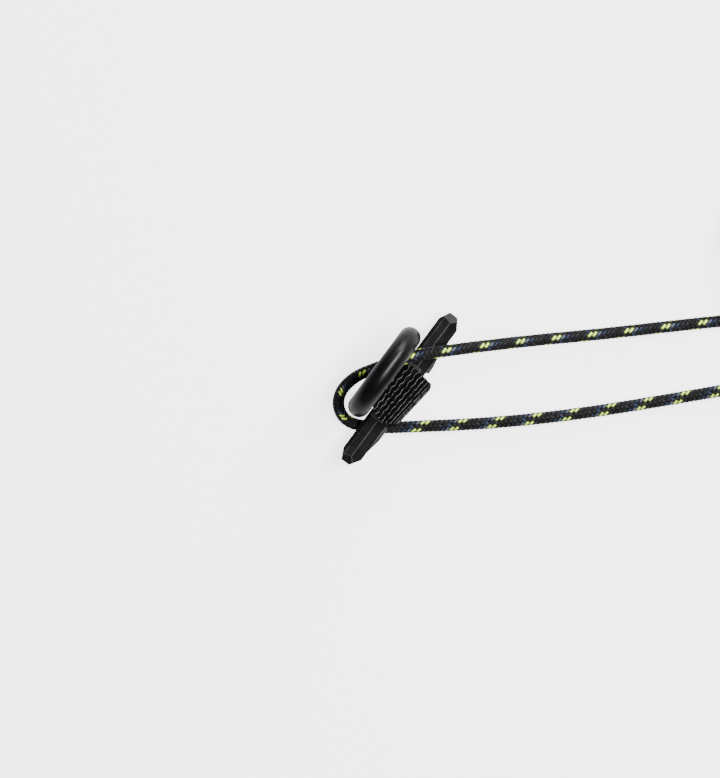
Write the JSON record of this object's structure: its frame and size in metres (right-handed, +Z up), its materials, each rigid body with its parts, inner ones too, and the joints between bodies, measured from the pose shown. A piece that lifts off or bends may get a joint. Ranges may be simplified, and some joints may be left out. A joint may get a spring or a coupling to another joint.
{
  "type": "cord lock",
  "caption": "Finger-bar cord lock with a hoop eye and a sprung, ribbed thumb slide that pinches a braided accessory cord, with the cord run through it.",
  "frame": {"origin": "on the foot's flat underside, below the middle of the finger bar", "axes": "+X along the finger bar, +Y from the bar towards the hoop, +Z up from the surface that the lock stands on"},
  "size_m": [0.1377, 0.095, 0.0266],
  "materials": {
    "bar_plastic": "satin moulded acetal, finely grained, worn lighter along its edges",
    "hoop_plastic": "smooth satin moulded nylon",
    "grip_plastic": "deep black ribbed grip",
    "jaw_plastic": "toothed glass-filled nylon",
    "black_steel": "blackened",
    "steel": "ground",
    "spring_steel": "drawn wire",
    "cord_braid": "black and navy braid with lime-yellow tracer flecks"
  },
  "bodies": {
    "frame": {"lower_frame": "bar_plastic", "upper_cover": "bar_plastic", "cover_screws": "black_steel", "hoop": "hoop_plastic", "hoop_pin": "steel", "guide_post": "steel", "post_screw": "black_steel", "guide_pin": "steel", "return_spring": "spring_steel", "upper_cord": "cord_braid", "cord_coil": "cord_braid", "coil_knot": "cord_braid", "tail_cord": "cord_braid", "tail_knot": "cord_braid"},
    "slide": {"thumb_slide": "grip_plastic", "keeper_plate": "steel", "keeper_screws": "steel", "jaw_insert": "jaw_plastic", "jaw_pin": "steel"}
  },
  "joints": [
    {"name": "slide_release", "type": "slide", "parent": "frame", "child": "slide", "axis": [-0.1132, -0.9936, 0], "range_m": [0, 0.002], "stiffness_N_per_m": 150, "springref_m": -0.004, "deforming": ["return_spring"]}
  ]
}
